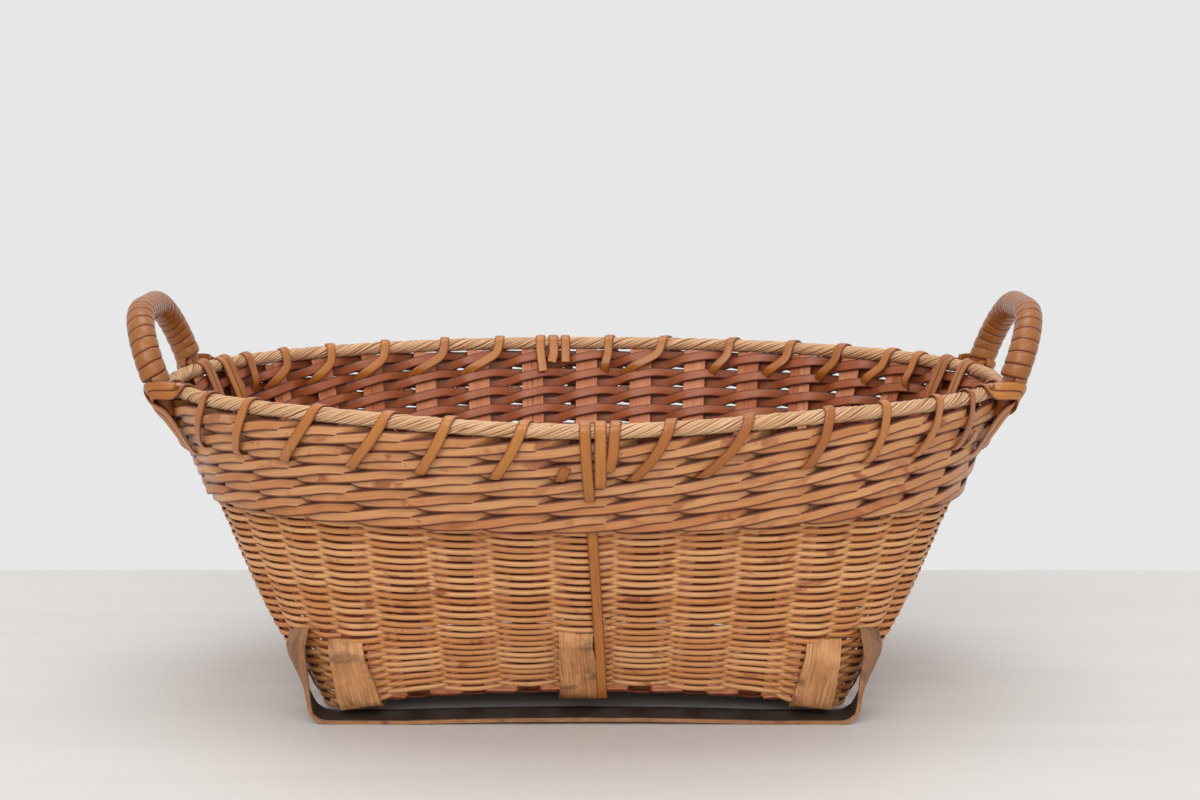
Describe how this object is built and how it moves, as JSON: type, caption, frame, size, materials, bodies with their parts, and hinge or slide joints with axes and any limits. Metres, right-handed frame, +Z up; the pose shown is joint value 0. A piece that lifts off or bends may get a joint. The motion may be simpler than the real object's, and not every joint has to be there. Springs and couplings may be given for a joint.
{
  "type": "rattan basket",
  "caption": "Open oval rattan basket with a flaring woven wall, a lashed rope rim, a bound handle at each end and bamboo straps under its base.",
  "frame": {"origin": "on the floor under the middle of the basket", "axes": "+X along the basket to its right handle, -Y to the front, +Z up"},
  "size_m": [0.47, 0.3159, 0.2075],
  "materials": {
    "stake": "satin",
    "weave": "satin",
    "wale": "satin",
    "rope": "satin",
    "lashing": "gloss",
    "strap": "matte",
    "core": "matte"
  },
  "bodies": {
    "root": {"back_tie_double": "lashing", "back_tie_long": "lashing", "corner_stake_1": "stake", "corner_stake_2": "stake", "corner_stake_3": "stake", "corner_stake_4": "stake", "corner_stake_5": "stake", "corner_stake_6": "stake", "corner_stake_7": "stake", "corner_stake_8": "stake", "cross_stake_1": "stake", "cross_stake_2": "stake", "cross_stake_3": "stake", "cross_stake_4": "stake", "cross_stake_5": "stake", "cross_stake_6": "stake", "cross_stake_7": "stake", "cross_stake_8": "stake", "cross_stake_9": "stake", "cross_strap_centre": "strap", "cross_strap_left": "strap", "cross_strap_right": "strap", "edge_splint_back": "stake", "edge_splint_front": "stake", "fine_weave": "weave", "front_tie_double": "lashing", "front_tie_long": "lashing", "handle_binding_left_back": "lashing", "handle_binding_left_front": "lashing", "handle_binding_right_back": "lashing", "handle_binding_right_front": "lashing", "handle_core_left": "core", "handle_core_right": "core", "handle_wrap_left": "lashing", "handle_wrap_right": "lashing", "long_stake_1": "stake", "long_stake_2": "stake", "long_stake_3": "stake", "long_stake_4": "stake", "long_stake_5": "stake", "long_strap_back": "strap", "long_strap_front": "strap", "rim_lashing_back_left": "lashing", "rim_lashing_back_right": "lashing", "rim_lashing_front_left": "lashing", "rim_lashing_front_right": "lashing", "rim_rope": "rope", "wale_1a": "wale", "wale_1b": "wale", "wale_1c": "wale", "wale_2a": "wale", "wale_2b": "wale", "wale_2c": "wale", "wale_3a": "wale", "wale_3b": "wale", "wale_3c": "wale", "wale_4a": "wale", "wale_4b": "wale", "wale_4c": "wale"}
  },
  "joints": []
}
